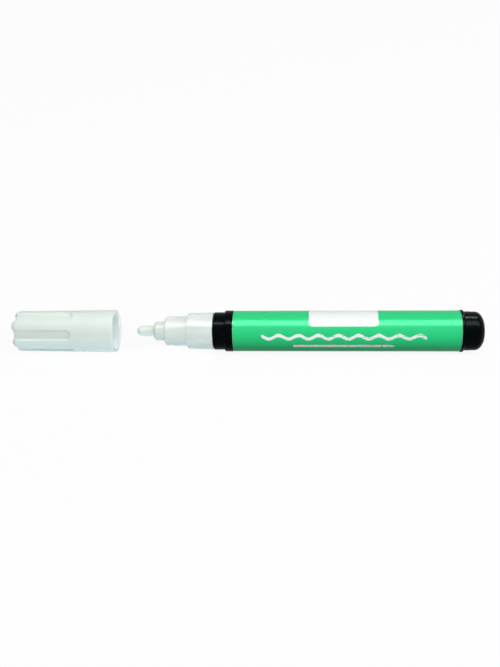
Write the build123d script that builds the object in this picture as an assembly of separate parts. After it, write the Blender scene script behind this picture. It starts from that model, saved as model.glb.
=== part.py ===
from build123d import *
import os
from math import cos, pi, radians, sin, sqrt

# A liquid chalk marker with a valve-fed bullet nib, its cap pulled off and lying in line in front of it.
# Stations x run along the marker, in millimetres from the cap stop: the shoulder that the cap's rim meets.
# The nib points to -x and the end plug to +x, and radii are measured from the marker's axis.
# place() moves finished pieces into the part's frame, with its origin on the table under the middle.

# Clearances
press_gap = 0.02
slide_gap = 0.08
cap_gap = 0.06
stop_gap = 0.1

# Largest share of a step that its rounded edge may take
round_share = 0.8

# Barrel and label
barrel_bore = 12.8
barrel_wall = 1.2
barrel_length = 86.05
barrel_end_chamfer = 0.3
label_film = 0.2
label_margin = 0.1

# Front collar
cap_seat_diameter = 14.5
cap_seat_length = 4.45
cap_seat_lead = 0.5
cap_stop_height = 0.67
shoulder_length = 3.3
shoulder_proud = 0.1
shoulder_round = 0.6
shoulder_back_chamfer = 0.2
collar_wall = 1.3
collar_spigot_length = 9.0

# Front section, in three steps from the collar towards the nib
base_step = 0.13
base_length = 10.0
base_draft = 0.15
base_round = 0.45
middle_step = 1.3
middle_length = 8.7
middle_draft = 0.23
middle_round = 0.7
tip_wall = 1.6
tip_length = 4.45
tip_round = 1.3
section_spigot_length = 6.5
section_wall = 1.3
nib_guide_length = 11.0

# Nib
nib_diameter = 4.1
nib_exposed = 6.8
nib_length = 28.0
nib_point_length = 2.6
nib_point_flat = 0.35
nib_back_chamfer = 0.4
nib_travel = 2.5

# Valve
seat_thickness = 1.2
seat_flow_gap = 0.6
seat_overlap = 0.7
housing_wall = 0.6
housing_length = 13.0
push_rod_diameter = 2.4
push_pad_diameter = 3.4
push_pad_length = 0.8
head_thickness = 1.4
guide_rod_diameter = 2.0
guide_rod_overhang = 0.5
retainer_length = 2.5
port_count = 4
port_diameter = 1.4
wire_diameter = 0.45
spring_turns = 7
spring_rod_gap = 0.5

# Seals
o_ring_section = 0.8
o_ring_groove_width = 1.1
o_ring_inset = 2.5

# Mixing ball
ball_diameter = 7.0
ball_bore_gap = 0.05
ball_end_gap = 0.5

# End plug
flange_proud = 0.24
flange_rim = 0.8
flange_slope = 0.5
plug_step = 0.16
plug_band_length = 2.2
plug_band_step = 0.08
plug_body_length = 1.85
dome_length = 3.6
dome_drop = 5.28
plug_spigot_length = 8.0
plug_spigot_wall = 2.0
notch_count = 6
notch_radius = 1.0
notch_length = 3.4
notch_depth = 0.6
notch_turn = 48.0
notch_angle = 24.0

# Cap
cap_wall = 0.9
cap_taper = 0.45
cap_end_wall = 1.2
cap_end_round = 2.0
end_recess_depth = 1.1
end_rim_width = 2.8
end_rim_round = 0.5
cap_rim_land = 1.0
cap_rim_chamfer = 0.2
cap_bore_margin = 0.6
cap_inner_gap = 0.45
cap_parting = 8.2
nib_room = 2.5
flute_count = 6
flute_width = 3.3
flute_depth = 0.7
flute_slope = 30.0
flute_start = 16.5
flute_turn = 13.3
liner_wall = 0.75
liner_base = 0.9
liner_tip_gap = 0.4

# Radii that follow from the sizes above
bore_radius = barrel_bore / 2
barrel_radius = bore_radius + barrel_wall
label_inner_radius = barrel_radius + press_gap
label_radius = label_inner_radius + label_film
seat_radius = cap_seat_diameter / 2
shoulder_radius = max(label_radius + shoulder_proud, seat_radius + cap_stop_height)
flange_radius = label_radius + flange_proud
spigot_radius = bore_radius - press_gap
collar_bore_radius = spigot_radius - collar_wall
core_radius = collar_bore_radius - press_gap
groove_radius = bore_radius - 2 * press_gap - o_ring_section
base_radius = seat_radius - base_step
middle_radius = base_radius - middle_step
nib_radius = nib_diameter / 2
nib_bore_radius = nib_radius + slide_gap
tip_radius = nib_bore_radius + tip_wall
gallery_radius = core_radius - section_wall
push_rod_radius = push_rod_diameter / 2
seat_hole_radius = push_rod_radius + seat_flow_gap
chamber_radius = core_radius - housing_wall
head_radius = seat_hole_radius + seat_overlap
guide_rod_radius = guide_rod_diameter / 2
retainer_radius = chamber_radius - press_gap
retainer_hole_radius = guide_rod_radius + slide_gap
port_ring_radius = (retainer_hole_radius + retainer_radius) / 2
wire_radius = wire_diameter / 2
spring_radius = guide_rod_radius + spring_rod_gap + wire_radius
plug_radius = barrel_radius - plug_step
plug_body_radius = plug_radius - plug_band_step
plug_cavity_radius = spigot_radius - plug_spigot_wall
ball_radius = ball_diameter / 2
cap_bore_radius = seat_radius + cap_gap
cap_mouth_radius = cap_bore_radius + cap_wall
cap_end_radius = cap_mouth_radius - cap_taper
end_recess_radius = cap_end_radius - end_rim_width
cap_inner_radius = middle_radius + cap_inner_gap
liner_radius = cap_inner_radius - press_gap
skirt_inner_radius = tip_radius + liner_tip_gap
skirt_radius = skirt_inner_radius + liner_wall

# Stations that follow from the sizes above
collar_front = -cap_seat_length
base_front = collar_front - base_length
middle_front = base_front - middle_length
tip_front = middle_front - tip_length
nib_front = tip_front - nib_exposed
nib_back = nib_front + nib_length
guide_back = tip_front + nib_guide_length
section_back = collar_front + section_spigot_length
seat_back = section_back + seat_thickness
head_back = seat_back + head_thickness
housing_back = seat_back + housing_length
retainer_front = housing_back - retainer_length
stem_back = housing_back + guide_rod_overhang
collar_back = shoulder_length + collar_spigot_length
barrel_back = shoulder_length + barrel_length
plug_spigot_front = barrel_back - plug_spigot_length
flange_back = barrel_back + flange_rim + flange_slope
band_back = flange_back + plug_band_length
dome_front = band_back + plug_body_length
plug_back = dome_front + dome_length
ball_front_limit = stem_back + nib_travel + ball_end_gap + ball_radius
ball_back_limit = plug_spigot_front - ball_end_gap - ball_radius
ball_travel = ball_back_limit - ball_front_limit
cap_mouth = -stop_gap
cap_bore_end = base_front - cap_bore_margin
liner_floor = nib_front - nib_room
cap_floor = liner_floor - liner_base
end_recess_floor = cap_floor - cap_end_wall
cap_end = end_recess_floor - end_recess_depth

# Placing in the frame: the cap's travel from pulled off to seated, the axis height and the middle
cap_travel = cap_parting - nib_front
axis_height = max(cap_mouth_radius, flange_radius, shoulder_radius)
middle_station = (cap_end - cap_travel + plug_back) / 2


def place(shape, shift=0.0):
    """Moves a piece from stations to the part's frame, shifted along the axis."""
    return Pos(shift - middle_station, 0, axis_height) * shape


def eased(size, step):
    """Radius of a rounded edge, limited by the step that carries it."""
    return min(size, round_share * step)


def turned(corners, rounds=()):
    """Revolves a profile of (station, radius) corners; rounds holds (station, radius, fillet) of some."""
    profile = Plane.XZ * make_face(Polyline(*corners, close=True))
    for station, radius, fillet_radius in rounds:
        corner = profile.vertices().sort_by_distance((station, 0, radius))[0]
        profile = fillet(corner, fillet_radius)
    return revolve(profile, Axis.X)


def bevel(solid, station, radius, size):
    """Chamfers the circular edge of the given station and radius."""
    on_circle = solid.edges().filter_by(GeomType.CIRCLE).sort_by(
        lambda edge: abs(edge.center(CenterOf.MASS).X - station) + abs(edge.radius - radius)
    )
    return chamfer(on_circle[0], size)


def rod(front, back, radius):
    """Solid cylinder along the axis."""
    return turned([(front, 0), (front, radius), (back, radius), (back, 0)])


def tube(front, back, inner, outer):
    """Hollow cylinder along the axis."""
    return turned([(front, inner), (front, outer), (back, outer), (back, inner)])


def around(count, turn, shape):
    """Copies of a shape, evenly spaced about the axis; a turn of 0 starts on top."""
    return [Rot(X=turn + step * 360 / count) * shape for step in range(count)]


def o_ring(middle):
    """Round-section seal between a spigot's groove and the barrel's bore."""
    ring_radius = groove_radius + press_gap + o_ring_section / 2
    section = Plane.XZ * Pos(middle, ring_radius) * Circle(o_ring_section / 2)
    return revolve(section, Axis.X)


def groove(middle):
    """Ring of material that a seal's groove removes from a spigot."""
    half = o_ring_groove_width / 2
    return tube(middle - half, middle + half, groove_radius, bore_radius)


def barrel_tube():
    body = tube(shoulder_length, barrel_back, bore_radius, barrel_radius)
    for station in (shoulder_length, barrel_back):
        body = bevel(body, station, bore_radius, barrel_end_chamfer)
    return body


def label_sleeve():
    front = shoulder_length + label_margin
    return tube(front, barrel_back - label_margin, label_inner_radius, label_radius)


def front_section():
    middle_front_radius = middle_radius - middle_draft
    base_front_radius = base_radius - base_draft
    corners = [
        (tip_front, nib_bore_radius),
        (tip_front, tip_radius),
        (middle_front, tip_radius),
        (middle_front, middle_front_radius),
        (base_front, middle_radius),
        (base_front, base_front_radius),
        (collar_front, base_radius),
        (collar_front, core_radius),
        (section_back, core_radius),
        (section_back, gallery_radius),
        (guide_back, gallery_radius),
        (guide_back, nib_bore_radius),
    ]
    rounds = [
        (tip_front, tip_radius, eased(tip_round, tip_wall)),
        (middle_front, middle_front_radius, eased(middle_round, middle_front_radius - tip_radius)),
        (base_front, base_front_radius, eased(base_round, base_front_radius - middle_radius)),
    ]
    return turned(corners, rounds)


def front_collar():
    corners = [
        (collar_front, collar_bore_radius),
        (collar_front, seat_radius - cap_seat_lead),
        (collar_front + cap_seat_lead, seat_radius),
        (0, seat_radius),
        (0, shoulder_radius),
        (shoulder_length - shoulder_back_chamfer, shoulder_radius),
        (shoulder_length, shoulder_radius - shoulder_back_chamfer),
        (shoulder_length, spigot_radius),
        (collar_back, spigot_radius),
        (collar_back, collar_bore_radius),
    ]
    body = turned(corners, [(0, shoulder_radius, eased(shoulder_round, shoulder_radius - seat_radius))])
    return body - groove(shoulder_length + o_ring_inset)


def nib():
    point_back = nib_front + nib_point_length
    drop = nib_radius - nib_point_flat
    outline = Polyline(
        (nib_front, nib_point_flat),
        (nib_front, 0),
        (nib_back, 0),
        (nib_back, nib_radius - nib_back_chamfer),
        (nib_back - nib_back_chamfer, nib_radius),
        (point_back, nib_radius),
    )
    point = EllipticalCenterArc((point_back, nib_point_flat), nib_point_length, drop, 90, arc_size=90)
    return revolve(Plane.XZ * make_face(outline + point), Axis.X)


def valve_seat():
    return tube(section_back, seat_back, seat_hole_radius, core_radius)


def valve_housing():
    return tube(seat_back, housing_back, chamber_radius, core_radius)


def valve_stem():
    pad_back = nib_back + push_pad_length
    corners = [
        (nib_back, 0),
        (nib_back, push_pad_diameter / 2),
        (pad_back, push_pad_diameter / 2),
        (pad_back, push_rod_radius),
        (seat_back, push_rod_radius),
        (seat_back, head_radius),
        (head_back, head_radius),
        (head_back, guide_rod_radius),
        (stem_back, guide_rod_radius),
        (stem_back, 0),
    ]
    return turned(corners)


def spring_retainer():
    disc = tube(retainer_front, housing_back, retainer_hole_radius, retainer_radius)
    port = Plane.YZ.offset(retainer_front) * Pos(0, port_ring_radius) * Circle(port_diameter / 2)
    for cut in around(port_count, 0, extrude(port, retainer_length)):
        disc -= cut
    return disc


def biarc(start, start_way, end, end_way):
    """Two arcs that join two points, tangent to the way of travel at both."""
    chord = end - start
    ways = start_way + end_way
    spread = 2 * (1 - start_way.dot(end_way))
    reach = (sqrt(chord.dot(ways) ** 2 + spread * chord.dot(chord)) - chord.dot(ways)) / spread
    near = start + start_way * reach
    far = end - end_way * reach
    joint = (near + far) * 0.5
    return [TangentArc(start, joint, tangent=start_way), TangentArc(joint, end, tangent=far - near)]


def least_gap(points):
    """Least gap between the spring's turns, between points at least three quarters of a turn apart."""
    pairs = [(one, two) for at, one in enumerate(points) for two in points[at + 3:]]
    return min((one - two).length for one, two in pairs) - wire_diameter


def valve_spring():
    front = head_back + wire_radius + press_gap
    pitch = (retainer_front - wire_radius - press_gap - front) / spring_turns
    quarters = 4
    steps = range(quarters * spring_turns + 1)
    angles = [360 * step / quarters for step in steps]
    points = [Vector(front + pitch * angle / 360, 0, spring_radius).rotate(Axis.X, angle) for angle in angles]
    rise = Vector(pitch / (2 * pi), -spring_radius, 0).normalized()
    ways = [rise.rotate(Axis.X, angle) for angle in angles]
    arcs = []
    for step in steps[1:]:
        arcs += biarc(points[step - 1], ways[step - 1], points[step], ways[step])
    path = Wire([Edge(arc.wrapped) for arc in arcs])
    section = Plane(points[0], z_dir=ways[0]) * Circle(wire_radius)
    print("valve_spring: least gap between turns", round(least_gap(points), 3), "mm")
    return sweep(section, path=path)


def mixing_ball():
    """Ball lying on the bottom of the bore, at the end plug."""
    drop = bore_radius - ball_bore_gap - ball_radius
    return Pos(ball_back_limit, 0, -drop) * Sphere(ball_radius)


def end_plug():
    spigot = [
        (plug_spigot_front, plug_cavity_radius),
        (plug_spigot_front, spigot_radius),
        (barrel_back, spigot_radius),
        (barrel_back, flange_radius),
        (barrel_back + flange_rim, flange_radius),
        (flange_back, plug_radius),
        (band_back, plug_radius),
        (band_back, plug_body_radius),
        (dome_front, plug_body_radius),
    ]
    dome = EllipticalCenterArc(
        (dome_front, plug_body_radius - dome_drop), dome_length, dome_drop, 0, arc_size=90
    )
    back = Polyline(
        (plug_back, plug_body_radius - dome_drop),
        (plug_back, 0),
        (barrel_back, 0),
        (barrel_back, plug_cavity_radius),
        (plug_spigot_front, plug_cavity_radius),
    )
    body = revolve(Plane.XZ * make_face(Polyline(*spigot) + dome + back), Axis.X)
    body -= groove(barrel_back - o_ring_inset)
    for cut in around(notch_count, notch_turn, dome_notch()):
        body -= cut
    return body


def dome_notch():
    """Short round bar along the dome's slope that cuts one notch; notch_angle is 0 at the dome's end."""
    rise = sin(radians(notch_angle))
    reach = cos(radians(notch_angle))
    seat = Vector(dome_front + dome_length * reach, 0, plug_body_radius - dome_drop * (1 - rise))
    outward = Vector(dome_drop * reach, 0, dome_length * rise).normalized()
    along = Vector(-outward.Z, 0, outward.X)
    middle = seat + outward * (notch_radius - notch_depth)
    return Plane(middle, z_dir=along) * Cylinder(notch_radius, notch_length)


def cap_flute():
    """Long slot with sloped walls and a round front end, cut down from the cap's surface."""
    floor_radius = cap_end_radius - flute_depth
    front = cap_end - flute_width
    back = cap_mouth - flute_start
    slot = Pos((front + back) / 2, 0, floor_radius) * SlotOverall(back - front, flute_width)
    return extrude(slot, cap_mouth_radius - floor_radius, taper=-flute_slope)


def end_notch():
    """Slot with sloped walls that carries a flute across the cap's end rim, down to the recess."""
    middle = (end_recess_radius + cap_mouth_radius) / 2
    plane = Plane((end_recess_floor, 0, middle), x_dir=(0, 1, 0), z_dir=(-1, 0, 0))
    slot = plane * Rectangle(flute_width, cap_mouth_radius - end_recess_radius)
    return extrude(slot, end_recess_depth, taper=-flute_slope)


def cap_shell():
    corners = [
        (end_recess_floor, 0),
        (end_recess_floor, end_recess_radius),
        (cap_end, end_recess_radius),
        (cap_end, cap_end_radius),
        (cap_mouth - cap_rim_land, cap_mouth_radius),
        (cap_mouth, cap_mouth_radius),
        (cap_mouth, 0),
    ]
    rounds = [
        (cap_end, end_recess_radius, eased(end_rim_round, end_recess_depth)),
        (cap_end, cap_end_radius, cap_end_round),
    ]
    outside = turned(corners, rounds)
    for cut in around(flute_count, flute_turn, cap_flute() + end_notch()):
        outside -= cut
    mouth_bore = rod(cap_bore_end, cap_mouth, cap_bore_radius)
    inner_bore = rod(cap_floor, cap_bore_end, cap_inner_radius)
    shell = outside - mouth_bore - inner_bore
    shell = bevel(shell, cap_mouth, cap_bore_radius, cap_rim_chamfer)
    return bevel(shell, cap_mouth, cap_mouth_radius, cap_rim_chamfer)


def cap_liner():
    base = rod(cap_floor, liner_floor, liner_radius)
    skirt = tube(liner_floor, middle_front - stop_gap, skirt_inner_radius, skirt_radius)
    return base + skirt


def build():
    """Every piece by its node's name, in the part's frame."""
    fixed = {
        "front_section": front_section(),
        "front_collar": front_collar(),
        "collar_o_ring": o_ring(shoulder_length + o_ring_inset),
        "barrel_tube": barrel_tube(),
        "label_sleeve": label_sleeve(),
        "end_plug": end_plug(),
        "plug_o_ring": o_ring(barrel_back - o_ring_inset),
        "valve_seat": valve_seat(),
        "valve_housing": valve_housing(),
        "spring_retainer": spring_retainer(),
        "valve_spring": valve_spring(),
        "nib": nib(),
        "valve_stem": valve_stem(),
        "mixing_ball": mixing_ball(),
    }
    pulled_off = {"cap_shell": cap_shell(), "cap_liner": cap_liner()}
    pieces = {name: place(shape) for name, shape in fixed.items()}
    pieces.update({name: place(shape, -cap_travel) for name, shape in pulled_off.items()})
    return pieces


print("travel in mm: cap", round(cap_travel, 3), "nib", nib_travel, "ball", round(ball_travel, 3))
os.makedirs("parts", exist_ok=True)
for name, shape in build().items():
    export_step(shape, f"parts/{name}.step")
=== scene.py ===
import math

import bpy
from mathutils import Matrix, Vector


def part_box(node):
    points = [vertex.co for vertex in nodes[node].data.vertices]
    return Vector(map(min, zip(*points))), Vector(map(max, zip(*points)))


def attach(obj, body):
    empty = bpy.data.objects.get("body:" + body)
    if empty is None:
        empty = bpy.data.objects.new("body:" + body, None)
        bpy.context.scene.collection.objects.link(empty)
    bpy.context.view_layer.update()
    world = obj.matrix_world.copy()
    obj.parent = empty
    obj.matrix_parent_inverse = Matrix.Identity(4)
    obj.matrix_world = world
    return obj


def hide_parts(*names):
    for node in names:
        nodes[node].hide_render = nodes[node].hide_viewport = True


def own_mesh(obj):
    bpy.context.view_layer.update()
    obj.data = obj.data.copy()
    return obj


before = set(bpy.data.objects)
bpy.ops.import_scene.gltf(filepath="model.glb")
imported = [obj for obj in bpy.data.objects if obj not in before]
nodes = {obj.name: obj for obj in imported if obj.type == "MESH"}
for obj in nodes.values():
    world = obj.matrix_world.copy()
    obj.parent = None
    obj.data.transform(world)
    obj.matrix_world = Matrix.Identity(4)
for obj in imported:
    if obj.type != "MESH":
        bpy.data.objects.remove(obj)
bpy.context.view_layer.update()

# Lengths below are in millimetres and angles in degrees, unless a comment says otherwise
mm = 0.001

# The marker's axis runs along X at this height; angles about it start on top and turn towards -Y
label_low, label_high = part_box("label_sleeve")
axis_height = (label_low.z + label_high.z) / 2

# Cap, measured along the axis from its closed end, whose edge the flutes cut into lobes
cap_flutes = 6
cap_flute_turn = 13.3
cap_flute_width = 3.75
cap_flute_edge = 0.3
cap_flute_depth = 0.7
cap_flute_back = 23.5
cap_flute_sides = 64
cap_taper = 0.45
cap_rim_land = 1.0
cap_rim_round = 0.3
cap_end_round = 2.0
cap_end_points = 56
cap_recess_depth = 1.1
cap_recess_radius = 4.96
cap_recess_round = 0.5
cap_recess_ring = 0.6
cap_lobe_round = 0.9
cap_lobe_soft = 0.9
cap_lobe_reach = 3.2
cap_bore_radius = 7.31
cap_bore_front = 25.05
cap_bore_lead = 1.0
cap_inner_radius = 6.27
cap_floor = 2.3
cap_floor_corner = 0.1

# Share of the cap's taper that is reached where its side begins
cap_taper_start = 0.02

# Nib
nib_point_length = 2.6
nib_point_flat = 0.35
nib_point_steps = 24
nib_side_start = 0.2
nib_back_chamfer = 0.4
nib_groove_depth = 0.035
nib_sides = 220

# Share of the flat of the nib's point inside its inner ring of points
nib_flat_ring = 0.6

# Waves of the nib's grooves: count round the nib, height, and phase in radians
nib_waves = ((37, 1.0, 0.0), (23, 0.7, 1.1), (53, 0.5, 2.3))

# Label film, with its overlap on the side turned away from the camera
film_thickness = 0.2
film_edge_round = 0.06
film_sides = 360
seam_angle = 222.0
seam_rise = 0.07
seam_width = 26.0
seam_level_width = 15.6

# Plain panel on the label, by distance along the axis and by angle
panel_front = 24.5
panel_back = 50.5
panel_low_angle = -43.0
panel_high_angle = 47.8
panel_corner = 1.5

# Half the width over which the edge of a printed place fades
print_blur = 0.05

# Chalk strokes on the label; sway is how far a stroke's wave goes to either side
stroke_middle = 37.5
stroke_wave = 7.5
stroke_ragged = 0.12
wavy_stroke = {"angle": 78.0, "length": 62.0, "width": 1.3, "sway": 0.7}
plain_stroke = {"angle": 107.0, "length": 38.0, "width": 1.2, "sway": 0.0}

# Level of noise below which a stroke stays bare, at its wet start and its dry end, and its step to full chalk
stroke_wet = 0.28
stroke_dry = 0.42
stroke_grain = 0.06

# Valve spring
wire_radius = 0.225
wire_sides = 12
spring_radius = 1.725
spring_turns = 7
spring_turn_steps = 40
spring_end_gap = 0.02

# How far the S of the spring's climb goes on past each end, as a share of its length
spring_lead = 0.06

# Levels between which noise is used, and the scale of a material's coarse noise as a share of its fine noise
coarse_range = (0.3, 0.7)
fine_range = (0.25, 0.75)
coarse_share = 0.18

# Floor, with its half size in metres and its own light as a share of white
floor_half = 3.0
floor_gap = 0.05
floor_glow = 0.9

# Light of the white world on the marker, as a share of white
world_light = 0.05

# Distances of the lamps from the marker, in metres
softbox_distance = 2.7
strip_distance = 1.8

# Camera
camera_sensor = 36.0
camera_lens = 47.5
camera_distance = 340.0
camera_azimuth = 4.95
camera_elevation = 30.0
camera_target = 1.75
camera_drop = 0.99


# Geometry helpers

def extent_of(node):
    """Front and back X of a CAD node, and its largest radius, in millimetres."""
    low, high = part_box(node)
    return low.x / mm, high.x / mm, (high.z - low.z) / 2 / mm


def at(x, radius, angle):
    """Point in metres from a place along the axis, a radius and an angle."""
    turn = math.radians(angle)
    return Vector((x * mm, -radius * math.sin(turn) * mm, axis_height + radius * math.cos(turn) * mm))


def smooth_step(value, low, high):
    """0 below low, 1 above high, and an even S between."""
    share = min(max((value - low) / (high - low), 0.0), 1.0)
    return share * share * (3 - 2 * share)


def between(start, end, share):
    """Point on the way from one point of the profile plane to another."""
    return start[0] + (end[0] - start[0]) * share, start[1] + (end[1] - start[1]) * share


def line(start, end, steps):
    """Evenly spaced points of a line in the profile plane, ends included."""
    return [between(start, end, step / steps) for step in range(steps + 1)]


def arc(centre, radius, start, end, steps):
    """Points of an arc in the profile plane, from one angle to another, ends included."""
    points = []
    for step in range(steps + 1):
        turn = math.radians(start + (end - start) * step / steps)
        points.append((centre[0] + radius * math.cos(turn), centre[1] + radius * math.sin(turn)))
    return points


def along_path(points, count):
    """The same path as a number of points at even distances."""
    spans = [math.dist(one, two) for one, two in zip(points, points[1:])]
    total = sum(spans)
    found = []
    index = 0
    passed = 0.0
    for step in range(count):
        goal = total * step / (count - 1)
        while index < len(spans) - 1 and passed + spans[index] < goal:
            passed += spans[index]
            index += 1
        share = (goal - passed) / spans[index] if spans[index] else 0.0
        found.append(between(points[index], points[index + 1], share))
    return found


def new_piece(name, vertices, faces, sharp_angle):
    """Mesh object of the frame, smooth up to an angle between faces."""
    mesh = bpy.data.meshes.new(name)
    mesh.from_pydata(vertices, [], faces)
    mesh.shade_smooth()
    mesh.set_sharp_from_angle(angle=math.radians(sharp_angle))
    piece = bpy.data.objects.new(name, mesh)
    bpy.context.scene.collection.objects.link(piece)
    return piece


def ring_faces(rings, segments, closed):
    """Quads between neighbouring rings of points, and from the last ring to the first if closed."""
    faces = []
    pairs = rings if closed else rings - 1
    for ring in range(pairs):
        first = ring * segments
        second = (ring + 1) % rings * segments
        for step in range(segments):
            after = (step + 1) % segments
            faces.append((first + step, first + after, second + after, second + step))
    return faces


def turned(name, profile, segments, sharp_angle, shape):
    """Piece turned about the axis from (x, radius) points that start and end on the axis.

    shape(index, x, radius, angle) gives the x and the radius that each point moves to.
    """
    inner = profile[1:-1]
    vertices = []
    for index, (x, radius) in enumerate(inner):
        for step in range(segments):
            angle = 360 * step / segments
            vertices.append(at(*shape(index, x, radius, angle), angle))
    faces = ring_faces(len(inner), segments, closed=False)
    first_pole = len(vertices)
    vertices += [at(*profile[0], 0), at(*profile[-1], 0)]
    last_ring = (len(inner) - 1) * segments
    for step in range(segments):
        after = (step + 1) % segments
        faces.append((first_pole, after, step))
        faces.append((first_pole + 1, last_ring + step, last_ring + after))
    return new_piece(name, vertices, faces, sharp_angle)


def finished(piece, body, node, material):
    """Gives a piece its material and its place in the frame, in the CAD node's stead."""
    piece.data.materials.append(material)
    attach(piece, body)
    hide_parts(node)
    return piece


# Shader helpers

def node_of(tree, kind, inputs, **settings):
    """New shader node; inputs gives sockets to link or values to set, by name or place."""
    node = tree.nodes.new(kind)
    for name, value in settings.items():
        setattr(node, name, value)
    for key, value in inputs.items():
        socket = node.inputs[key]
        if isinstance(value, bpy.types.NodeSocket):
            tree.links.new(value, socket)
        else:
            socket.default_value = value
    return node


def calc(tree, operation, *values):
    """Result of a math node."""
    return node_of(tree, "ShaderNodeMath", dict(enumerate(values)), operation=operation).outputs[0]


def remap(tree, value, low, high, to_low, to_high):
    """Value mapped from one range to another and held inside it."""
    inputs = {0: value, 1: low, 2: high, 3: to_low, 4: to_high}
    return node_of(tree, "ShaderNodeMapRange", inputs).outputs[0]


def mixed(tree, factor, first, second):
    """Colour between two, by a factor."""
    inputs = {0: factor, 6: first, 7: second}
    return node_of(tree, "ShaderNodeMix", inputs, data_type="RGBA").outputs[2]


def distance(tree, one, two):
    """Length of two steps at right angles, taken together."""
    return calc(tree, "SQRT", calc(tree, "ADD", calc(tree, "POWER", one, 2), calc(tree, "POWER", two, 2)))


def beyond(tree, offset, limit):
    """How far an offset to either side goes past a limit, or 0."""
    return calc(tree, "MAXIMUM", calc(tree, "SUBTRACT", calc(tree, "ABSOLUTE", offset), limit), 0)


def place_in_mm(tree, stretch=(1, 1, 1)):
    """The point on the piece in millimetres of the frame, stretched along its axes."""
    coordinates = node_of(tree, "ShaderNodeTexCoord", {})
    scale = Vector(stretch) / mm
    inputs = {0: coordinates.outputs["Object"], 1: scale}
    return node_of(tree, "ShaderNodeVectorMath", inputs, operation="MULTIPLY").outputs[0]


def from_axis(tree):
    """The point's X, its distance towards -Y and its height from the marker's axis, in millimetres."""
    parts = node_of(tree, "ShaderNodeSeparateXYZ", {0: place_in_mm(tree)})
    height = calc(tree, "SUBTRACT", parts.outputs[2], axis_height / mm)
    return parts.outputs[0], calc(tree, "MULTIPLY", parts.outputs[1], -1), height


def noise(tree, place, scale, detail=2.0):
    """Noise from about 0 to 1 at a place."""
    inputs = {"Vector": place, "Scale": scale, "Detail": detail}
    return node_of(tree, "ShaderNodeTexNoise", inputs).outputs["Fac"]


def bump(tree, height, strength, depth):
    """Normal from a height, with its depth in millimetres."""
    inputs = {"Height": height, "Strength": strength, "Distance": depth * mm}
    return node_of(tree, "ShaderNodeBump", inputs).outputs["Normal"]


def new_material(name, **values):
    """Material with one principled shader; values sets its sockets by their plain names."""
    material = bpy.data.materials.new(name)
    material.use_nodes = True
    tree = material.node_tree
    shader = tree.nodes["Principled BSDF"]
    for key, value in values.items():
        shader.inputs[key.replace("_", " ")].default_value = value
    return material, tree, shader


def varied(tree, shader, colours, roughness, grain, depth, stretch=(1, 1, 1)):
    """Uneven colour, roughness and a fine bump, all from noise of one grain size in millimetres."""
    place = place_in_mm(tree, stretch)
    coarse = noise(tree, place, scale=coarse_share / grain)
    fine = noise(tree, place, scale=1 / grain, detail=4.0)
    colour = mixed(tree, remap(tree, coarse, *coarse_range, 0, 1), *colours)
    tree.links.new(colour, shader.inputs["Base Color"])
    tree.links.new(remap(tree, fine, *fine_range, *roughness), shader.inputs["Roughness"])
    tree.links.new(bump(tree, fine, strength=0.3, depth=depth), shader.inputs["Normal"])


def milky(shader, weight, depth):
    """Light that spreads under the surface of a white piece, over a depth in millimetres."""
    shader.subsurface_method = "BURLEY"
    shader.inputs["Subsurface Weight"].default_value = weight
    shader.inputs["Subsurface Radius"].default_value = (1.0, 1.0, 1.0)
    shader.inputs["Subsurface Scale"].default_value = depth * mm


# Materials

def cap_material():
    """Satin milky plastic, with painted light on the wall inside the mouth: a lighter colour there stands in
    for light that comes through the milky walls.
    """
    material, tree, shader = new_material("cap_white", IOR=1.18)
    milky(shader, weight=0.6, depth=3.0)
    pale = (0.595, 0.66, 0.605, 1)
    cool = (0.585, 0.655, 0.62, 1)
    # Painted light: a lighter colour for the bore's wall inside the mouth, standing in for light that comes
    # through the milky walls
    glow = (0.81, 0.87, 0.855, 1)
    varied(tree, shader, (pale, cool), (0.36, 0.5), grain=0.5, depth=0.02, stretch=(0.4, 1, 1))
    outside = shader.inputs["Base Color"].links[0].from_socket
    x, aside, height = from_axis(tree)
    # Where the painted light goes: the bore's wall between the inner step and the mouth
    in_bore = calc(tree, "LESS_THAN", distance(tree, aside, height), cap_bore_radius + cap_rim_round / 2)
    past_step = calc(tree, "GREATER_THAN", x, extent_of("cap_shell")[0] + cap_bore_front)
    inside = calc(tree, "MULTIPLY", in_bore, past_step)
    tree.links.new(mixed(tree, inside, outside, glow), shader.inputs["Base Color"])
    return material


def section_material():
    """Glossier milky plastic of the nib holder."""
    material, tree, shader = new_material("section_white", IOR=1.25)
    milky(shader, weight=1.0, depth=2.2)
    pale = (0.67, 0.735, 0.69, 1)
    warm = (0.66, 0.725, 0.68, 1)
    varied(tree, shader, (pale, warm), (0.15, 0.22), grain=0.6, depth=0.008)
    return material


def nib_material():
    """Pressed fibre with strands along the nib."""
    material, tree, shader = new_material("nib_fibre", IOR=1.3, Sheen_Weight=0.2)
    milky(shader, weight=0.6, depth=0.8)
    deep = (0.62, 0.71, 0.62, 1)
    pale = (0.71, 0.785, 0.70, 1)
    strands = noise(tree, place_in_mm(tree, (0.12, 1, 1)), scale=6.0, detail=3.0)
    colour = mixed(tree, remap(tree, strands, *coarse_range, 0, 1), deep, pale)
    tree.links.new(colour, shader.inputs["Base Color"])
    tree.links.new(remap(tree, strands, *coarse_range, 0.95, 0.75), shader.inputs["Roughness"])
    tree.links.new(bump(tree, strands, strength=0.6, depth=0.06), shader.inputs["Normal"])
    return material


def black_material(name, grain, depth):
    """Glossy black plastic, uneven over a grain and by a depth in millimetres."""
    material, tree, shader = new_material(name, IOR=1.09, Specular_Tint=(0.75, 0.93, 1, 1))
    deep = (0.0006, 0.0009, 0.0014, 1)
    worn = (0.0016, 0.0022, 0.003, 1)
    varied(tree, shader, (deep, worn), (0.08, 0.36), grain, depth)
    return material


def rounded_panel(tree, along, across, half_length, half_width, corner):
    """1 inside a rounded rectangle about the middle of two distances, 0 outside it."""
    out_along = beyond(tree, along, half_length - corner)
    out_across = beyond(tree, across, half_width - corner)
    out = distance(tree, out_along, out_across)
    return remap(tree, out, corner - print_blur, corner + print_blur, 1, 0)


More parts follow.
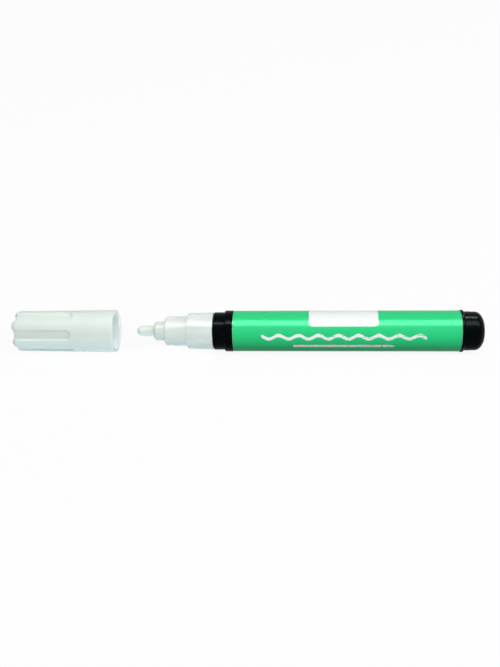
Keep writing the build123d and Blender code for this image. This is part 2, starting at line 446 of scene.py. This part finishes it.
def label_panel(tree, x, around):
    """1 on the label's plain panel, 0 elsewhere."""
    radius = extent_of("label_sleeve")[2]
    middle = math.radians((panel_low_angle + panel_high_angle) / 2) * radius
    half_width = math.radians(panel_high_angle - panel_low_angle) / 2 * radius
    along = calc(tree, "SUBTRACT", x, (panel_front + panel_back) / 2)
    across = calc(tree, "SUBTRACT", around, middle)
    return rounded_panel(tree, along, across, (panel_back - panel_front) / 2, half_width, panel_corner)


def chalk_stroke(tree, x, around, angle, length, width, sway):
    """1 where a swaying chalk stroke along the label leaves its grain, 0 elsewhere; it ends dry."""
    reach = calc(tree, "SUBTRACT", x, stroke_middle)
    wave = calc(tree, "SINE", calc(tree, "MULTIPLY", reach, 2 * math.pi / stroke_wave))
    rough = noise(tree, place_in_mm(tree), scale=2.2, detail=3.0)
    ragged = remap(tree, rough, *coarse_range, -stroke_ragged, stroke_ragged)
    middle = calc(tree, "MULTIPLY_ADD", wave, sway, math.radians(angle) * extent_of("label_sleeve")[2])
    offset = calc(tree, "ADD", calc(tree, "SUBTRACT", around, middle), ragged)
    body = rounded_panel(tree, reach, offset, length / 2, width / 2, width / 2)
    grain = noise(tree, place_in_mm(tree, (0.22, 1, 1)), scale=4.0, detail=4.0)
    dry = remap(tree, reach, -length / 2, length / 2, stroke_wet, stroke_dry)
    chalk = calc(tree, "MULTIPLY", calc(tree, "SUBTRACT", grain, dry), 1 / stroke_grain)
    return calc(tree, "MULTIPLY", body, calc(tree, "MINIMUM", calc(tree, "MAXIMUM", chalk, 0), 1))


def label_colour(tree):
    """Green ink with two chalk strokes, a plain panel and a pale cut edge at the back."""
    ink = (0.026, 0.63, 0.22, 1)
    pale_ink = (0.031, 0.66, 0.235, 1)
    paper = (0.86, 0.92, 0.89, 1)
    chalk = (0.95, 0.98, 0.97, 1)
    back, radius = extent_of("label_sleeve")[1:]
    x, aside, height = from_axis(tree)
    around = calc(tree, "MULTIPLY", calc(tree, "ARCTAN2", aside, height), radius)
    green = mixed(tree, noise(tree, place_in_mm(tree), scale=0.5), ink, pale_ink)
    wavy = chalk_stroke(tree, x, around, **wavy_stroke)
    plain = chalk_stroke(tree, x, around, **plain_stroke)
    drawn = mixed(tree, calc(tree, "MAXIMUM", wavy, plain), green, chalk)
    cut_edge = remap(tree, calc(tree, "SUBTRACT", back, x), 0, film_edge_round, 1, 0)
    bare = calc(tree, "MAXIMUM", label_panel(tree, x, around), cut_edge)
    return mixed(tree, bare, drawn, paper)


def label_material():
    """Glossy printed film with a light haze and a slight swell."""
    material, tree, shader = new_material("label_green", IOR=1.17, Metallic=0.03)
    tree.links.new(label_colour(tree), shader.inputs["Base Color"])
    place = place_in_mm(tree)
    haze = noise(tree, place, scale=1.6, detail=4.0)
    tree.links.new(remap(tree, haze, *coarse_range, 0.22, 0.27), shader.inputs["Roughness"])
    swell = noise(tree, place, scale=0.25)
    tree.links.new(bump(tree, swell, strength=0.2, depth=0.01), shader.inputs["Normal"])
    return material


def plain_plastic(name, colours, roughness):
    """Moulded plastic of an inner piece."""
    material, tree, shader = new_material(name)
    varied(tree, shader, colours, roughness, grain=0.4, depth=0.008)
    return material


def rubber_material():
    """Dull black rubber of the seals."""
    material, tree, shader = new_material("seal_rubber", Specular_IOR_Level=0.2)
    deep = (0.008, 0.008, 0.009, 1)
    worn = (0.014, 0.014, 0.015, 1)
    varied(tree, shader, (deep, worn), (0.6, 0.8), grain=0.15, depth=0.01)
    return material


def steel_material(name, colours, roughness):
    """Bare steel with a fine grain."""
    material, tree, shader = new_material(name, Metallic=1.0)
    varied(tree, shader, colours, roughness, grain=0.12, depth=0.003)
    return material


# Pieces

def cap_profiles(front, length, mouth_radius):
    """Outside of the cap as two rows of matching points: over a land and over the floor of a flute.

    Both run from the middle of the closed end to the rim of the mouth.
    """
    end_radius = mouth_radius - cap_taper
    floor_radius = end_radius - cap_flute_depth
    recess = front + cap_recess_depth
    side = front + cap_end_round
    ring = (recess, cap_recess_radius - cap_recess_ring)
    lip = (front + cap_recess_round, cap_recess_radius + cap_recess_round)
    lobe = (recess + cap_lobe_round, floor_radius - cap_lobe_round)
    side_start = (side + cap_lobe_round, end_radius + cap_taper * cap_taper_start)
    side_end = (front + length - cap_rim_land, mouth_radius)

    middle = line((recess, 0), ring, steps=6)
    rim = line(ring, (recess, cap_recess_radius), steps=4)
    rim += arc(lip, cap_recess_round, 270, 180, steps=8)
    rim += arc((side, end_radius - cap_end_round), cap_end_round, 180, 90, steps=24)
    rim += [side_start]
    groove = line(ring, (recess, floor_radius - cap_lobe_round), steps=8)
    groove += arc(lobe, cap_lobe_round, 180, 90, steps=12)
    groove += [(side + cap_lobe_round, floor_radius)]

    land_side = line(side_start, side_end, steps=130)
    flute_side = [(x, floor_radius) for x, radius in land_side]
    land = middle + along_path(rim, cap_end_points)[1:] + land_side[1:]
    flute = middle + along_path(groove, cap_end_points)[1:] + flute_side[1:]
    return land, flute


def cap_inside(front, length, mouth_radius):
    """Rim, bore and floor of the cap, from the outside of the mouth to the middle of the floor."""
    back = front + length
    step = front + cap_bore_front
    floor = front + cap_floor
    soft = cap_rim_round
    rim = arc((back - soft, mouth_radius - soft), soft, 90, 0, steps=5)
    rim += arc((back - soft, cap_bore_radius + soft), soft, 0, -90, steps=5)
    bore = line((back - cap_bore_lead, cap_bore_radius), (step + soft, cap_bore_radius), steps=12)
    ledge = arc((step + soft, cap_bore_radius - soft), soft, 90, 180, steps=4)
    ledge += arc((step - soft, cap_inner_radius + soft), soft, 0, -90, steps=4)
    inner = line((step - cap_bore_lead, cap_inner_radius), (floor, cap_inner_radius), steps=14)
    bottom = line((floor, cap_inner_radius - cap_floor_corner), (floor, 0), steps=6)
    return rim + bore + ledge + inner + bottom


def cap_piece():
    """Cap with soft-edged flutes, which end round and run out over the closed end."""
    front, back, mouth_radius = extent_of("cap_shell")
    length = back - front
    land, flute = cap_profiles(front, length, mouth_radius)
    profile = land + cap_inside(front, length, mouth_radius)
    last_outside = len(flute) - 1
    half = cap_flute_width / 2
    round_middle = front + cap_flute_back - half
    spacing = 360 / cap_flutes

    def fluted(index, x, radius, angle):
        outside = index + 1
        if outside > last_outside:
            return x, radius
        turn = (angle - cap_flute_turn + spacing / 2) % spacing - spacing / 2
        aside = math.radians(turn) * radius
        ahead = max(x - round_middle, 0.0)
        edge = cap_flute_edge + cap_lobe_soft * (1 - smooth_step(x, front, front + cap_lobe_reach))
        share = 1 - smooth_step(math.hypot(aside, ahead), half - edge, half + edge)
        return between((x, radius), flute[outside], share)

    segments = cap_flute_sides * cap_flutes
    piece = turned("cap_shell_fluted", profile, segments, sharp_angle=40, shape=fluted)
    return finished(piece, "cap", "cap_shell", cap_material())


def nib_piece():
    """Bullet nib with fine grooves between its fibres."""
    front, back, radius = extent_of("nib")
    profile = [(front, 0), (front, nib_point_flat * nib_flat_ring)]
    for step in range(nib_point_steps + 1):
        turn = math.radians(90 * step / nib_point_steps)
        x = front + nib_point_length * (1 - math.cos(turn))
        profile.append((x, nib_point_flat + (radius - nib_point_flat) * math.sin(turn)))
    side_start = front + nib_point_length + nib_side_start
    profile += line((side_start, radius), (back - nib_back_chamfer, radius), steps=40)
    profile += [(back, radius - nib_back_chamfer), (back, 0)]
    highest = sum(height for count, height, phase in nib_waves)

    def grooved(index, x, at_radius, angle):
        turn = math.radians(angle)
        waves = sum(height * math.sin(count * turn + phase) for count, height, phase in nib_waves)
        depth = nib_groove_depth * max(waves, 0.0) / highest
        return x, at_radius - depth * min(at_radius / radius, 1.0)

    piece = turned("nib_bullet", profile, nib_sides, sharp_angle=45, shape=grooved)
    return finished(piece, "nib_plunger", "nib", nib_material())


def label_piece():
    """Film rolled round the barrel, its end laid over its start."""
    front, back, radius = extent_of("label_sleeve")
    inner = radius - film_thickness
    soft = film_edge_round
    profile = line((front + soft, radius), (back - soft, radius), steps=60)
    profile += [(back, radius - soft), (back, inner), (front, inner), (front, radius - soft)]
    vertices = []
    for x, at_radius in profile:
        for step in range(film_sides):
            angle = 360 * step / film_sides
            past_seam = (angle - seam_angle) % 360
            rise = seam_rise * (1 - smooth_step(past_seam, seam_level_width, seam_width))
            lifted = at_radius + rise if at_radius > inner else at_radius
            vertices.append(at(x, lifted, angle))
    faces = ring_faces(len(profile), film_sides, closed=True)
    piece = new_piece("label_film", vertices, faces, sharp_angle=35)
    return finished(piece, "marker", "label_sleeve", label_material())


def wire_line(start, travel):
    """Points along the middle of the spring's wire, whose turns lie closer at both ends."""
    steps = spring_turn_steps * spring_turns
    ends = smooth_step(0.0, -spring_lead, 1 + spring_lead)
    centres = []
    for step in range(steps + 1):
        share = step / steps
        climb = smooth_step(share, -spring_lead, 1 + spring_lead)
        x = start + travel * (climb - ends) / (1 - 2 * ends)
        centres.append(at(x, spring_radius, 360 * spring_turns * share))
    return centres


def spring_piece():
    """Compression spring between valve stem and retainer, built here at one length, though the nib's stroke
    shortens the real one.
    """
    front = extent_of("valve_spring")[0]
    back = extent_of("spring_retainer")[0]
    start = front + wire_radius
    centres = wire_line(start, back - spring_end_gap - wire_radius - start)
    last = len(centres) - 1
    vertices = []
    for step, centre in enumerate(centres):
        ahead = centres[min(step + 1, last)] - centres[max(step - 1, 0)]
        outward = centre - Vector((centre.x, 0, axis_height))
        outward.normalize()
        side = ahead.cross(outward).normalized()
        for corner in range(wire_sides):
            turn = 2 * math.pi * corner / wire_sides
            reach = outward * math.cos(turn) + side * math.sin(turn)
            vertices.append(centre + reach * wire_radius * mm)
    faces = ring_faces(len(centres), wire_sides, closed=False)
    faces.append(tuple(range(wire_sides)))
    faces.append(tuple(reversed(range(last * wire_sides, len(vertices)))))
    piece = new_piece("valve_spring_wire", vertices, faces, sharp_angle=60)
    dull = (0.40, 0.41, 0.42, 1)
    bright = (0.46, 0.47, 0.48, 1)
    material = steel_material("spring_steel", (dull, bright), (0.22, 0.36))
    finished(piece, "marker", "valve_spring", material)
    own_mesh(piece)
    return piece


def dress_nodes():
    """Materials of the CAD nodes that stay as they are."""
    natural = plain_plastic("valve_plastic", ((0.70, 0.74, 0.70, 1), (0.75, 0.78, 0.74, 1)), (0.4, 0.5))
    barrel = plain_plastic("barrel_white", ((0.78, 0.81, 0.79, 1), (0.83, 0.85, 0.83, 1)), (0.38, 0.5))
    rubber = rubber_material()
    ball = steel_material("ball_steel", ((0.56, 0.57, 0.58, 1), (0.62, 0.63, 0.64, 1)), (0.1, 0.18))
    dressing = {
        "cap_liner": bpy.data.materials["cap_white"],
        "front_section": section_material(),
        "front_collar": black_material("collar_black", grain=1.2, depth=0.02),
        "end_plug": black_material("plug_black", grain=0.8, depth=0.008),
        "collar_o_ring": rubber,
        "plug_o_ring": rubber,
        "valve_seat": rubber,
        "barrel_tube": barrel,
        "valve_housing": natural,
        "spring_retainer": natural,
        "valve_stem": natural,
        "mixing_ball": ball,
    }
    for name, material in dressing.items():
        nodes[name].data.materials.clear()
        nodes[name].data.materials.append(material)


# Stage

def seen_directly(tree):
    """1 for rays from the camera and for those that a glossy or clear surface sends on, 0 for the rest."""
    path = node_of(tree, "ShaderNodeLightPath", {})
    glossy = calc(tree, "MAXIMUM", path.outputs["Is Camera Ray"], path.outputs["Is Glossy Ray"])
    return calc(tree, "MAXIMUM", glossy, path.outputs["Is Transmission Ray"])


def floor_material():
    """White floor that takes the marker's shadow and hardly lights the marker from below."""
    material = bpy.data.materials.new("floor_white")
    material.use_nodes = True
    tree = material.node_tree
    tree.nodes.clear()
    direct = seen_directly(tree)
    colour = mixed(tree, direct, (0.02, 0.02, 0.02, 1), (0.95, 0.95, 0.95, 1))
    matte = node_of(tree, "ShaderNodeBsdfDiffuse", {"Color": colour})
    glow = node_of(tree, "ShaderNodeEmission", {"Color": (1, 1, 1, 1), "Strength": 1.0})
    share = calc(tree, "MULTIPLY", direct, floor_glow)
    surface = node_of(tree, "ShaderNodeMixShader", {0: share, 1: matte.outputs[0], 2: glow.outputs[0]})
    output = node_of(tree, "ShaderNodeOutputMaterial", {})
    tree.links.new(surface.outputs[0], output.inputs["Surface"])
    return material


def floor_piece():
    """Square floor just under the marker."""
    below = -floor_gap * mm
    signs = ((-1, -1), (1, -1), (1, 1), (-1, 1))
    corners = [(x * floor_half, y * floor_half, below) for x, y in signs]
    floor = new_piece("floor", corners, [(0, 1, 2, 3)], sharp_angle=30)
    floor.data.materials.append(floor_material())


def studio_world():
    """World that shows white behind the floor and hardly lights the marker."""
    world = bpy.data.worlds.new("studio")
    world.use_nodes = True
    tree = world.node_tree
    background = tree.nodes["Background"]
    background.inputs["Color"].default_value = (1, 1, 1, 1)
    strength = remap(tree, seen_directly(tree), 0, 1, world_light, 1)
    tree.links.new(strength, background.inputs["Strength"])
    bpy.context.scene.world = world


def direction(azimuth, elevation):
    """Unit vector towards a place round the marker; azimuth 0 is the camera's side and 90 is +X."""
    aside = math.radians(azimuth)
    rise = math.radians(elevation)
    flat = math.cos(rise)
    return Vector((math.sin(aside) * flat, -math.cos(aside) * flat, math.sin(rise)))


def placed(name, data, location, right, up, away):
    """Lamp or camera at a location, turned by its right, its up and the way that its back points."""
    holder = bpy.data.objects.new(name, data)
    holder.location = location
    holder.rotation_mode = "QUATERNION"
    holder.rotation_quaternion = Matrix((right, up, away)).transposed().to_quaternion()
    bpy.context.scene.collection.objects.link(holder)
    return holder


def lamp(name, azimuth, elevation, reach, size, radiance, colour):
    """Area lamp that faces the marker, with an even radiance over its face; lengths are in metres."""
    data = bpy.data.lights.new(name, "AREA")
    data.color = colour
    data.shape = "RECTANGLE"
    data.size, data.size_y = size
    data.energy = radiance * math.pi * size[0] * size[1]
    turn = math.radians(azimuth)
    across = Vector((math.cos(turn), math.sin(turn), 0))
    away = direction(azimuth, elevation)
    location = Vector((0, 0, axis_height)) + away * reach
    return placed(name, data, location, across, away.cross(across), away)


def softbox(name, azimuth, elevation, size, radiance, colour=(1, 1, 1)):
    """Lamp for soft light alone, which no gloss shows."""
    box = lamp(name, azimuth, elevation, softbox_distance, size, radiance, colour)
    box.visible_glossy = False
    return box


def highlight(name, elevation, size, radiance):
    """Lamp over the marker that shows in gloss alone."""
    strip = lamp(name, 0, elevation, strip_distance, size, radiance, (1, 1, 1))
    strip.visible_diffuse = False
    return strip


def piece_group(name, pieces):
    """Collection of some pieces, to link a lamp's light to."""
    group = bpy.data.collections.new(name)
    for piece in pieces:
        group.objects.link(piece)
    return group


def only_on(lamp_object, *pieces):
    """Lets a lamp light some pieces alone, with nothing but them in its way."""
    group = piece_group(lamp_object.name, pieces)
    lamp_object.light_linking.receiver_collection = group
    lamp_object.light_linking.blocker_collection = group


def not_on(lamp_object, *pieces):
    """Keeps a lamp's light off some pieces."""
    group = piece_group(lamp_object.name, pieces)
    for member in group.collection_objects:
        member.light_linking.link_state = "EXCLUDE"
    lamp_object.light_linking.receiver_collection = group


def soft_light(cap, nib):
    """Plain studio light, and the white of table and room on the white pieces alone."""
    white_pieces = (cap, nib, nodes["cap_liner"], nodes["front_section"])
    softbox("key_softbox", 0, 46, (4.8, 2.1), 2.55)
    softbox("low_softbox", 0, 8, (4.8, 0.9), 0.7, (0.75, 0.93, 1.0))
    softbox("back_softbox", 0, 135, (3.6, 1.5), 1.0)
    softbox("side_softbox", 75, 30, (2.0, 1.5), 3.6)
    table = softbox("table_card", 0, -75, (4.8, 2.4), 5.2, (0.75, 0.88, 1.0))
    ceiling = softbox("ceiling_card", 0, 105, (4.8, 1.5), 1.05)
    mouth = softbox("mouth_card", 70, -15, (2.4, 1.5), 1.8)
    only_on(table, *white_pieces)
    only_on(ceiling, *white_pieces)
    only_on(mouth, cap, nodes["cap_liner"])


def gloss_light():
    """Narrow lamps that make the highlights along the glossy pieces."""
    strip = highlight("overhead_strip", 76, (3.6, 0.85), 20.0)
    collar_glint = highlight("collar_glint", 77, (1.0, 0.18), 90.0)
    plug_glint = highlight("plug_glint", 117, (1.4, 0.16), 95.0)
    not_on(strip, nodes["front_collar"])
    only_on(collar_glint, nodes["front_collar"])
    only_on(plug_glint, nodes["end_plug"])


def camera():
    """Camera at the photograph's angle, rolled so that the marker's axis runs level in the picture."""
    data = bpy.data.cameras.new("camera")
    data.sensor_width = camera_sensor
    data.lens = camera_lens
    data.clip_start = 0.01
    data.clip_end = 20.0
    away = direction(camera_azimuth, camera_elevation)
    right = Vector((1, 0, 0)) - away * away.x
    right.normalize()
    up = away.cross(right)
    target = Vector((camera_target * mm, 0, axis_height)) - up * camera_drop * mm
    location = target + away * camera_distance * mm
    bpy.context.scene.camera = placed("camera", data, location, right, up, away)


bpy.context.scene.view_settings.view_transform = "Standard"
cap_object = cap_piece()
nib_object = nib_piece()
label_piece()
spring_piece()
dress_nodes()
floor_piece()
studio_world()
soft_light(cap_object, nib_object)
gloss_light()
camera()
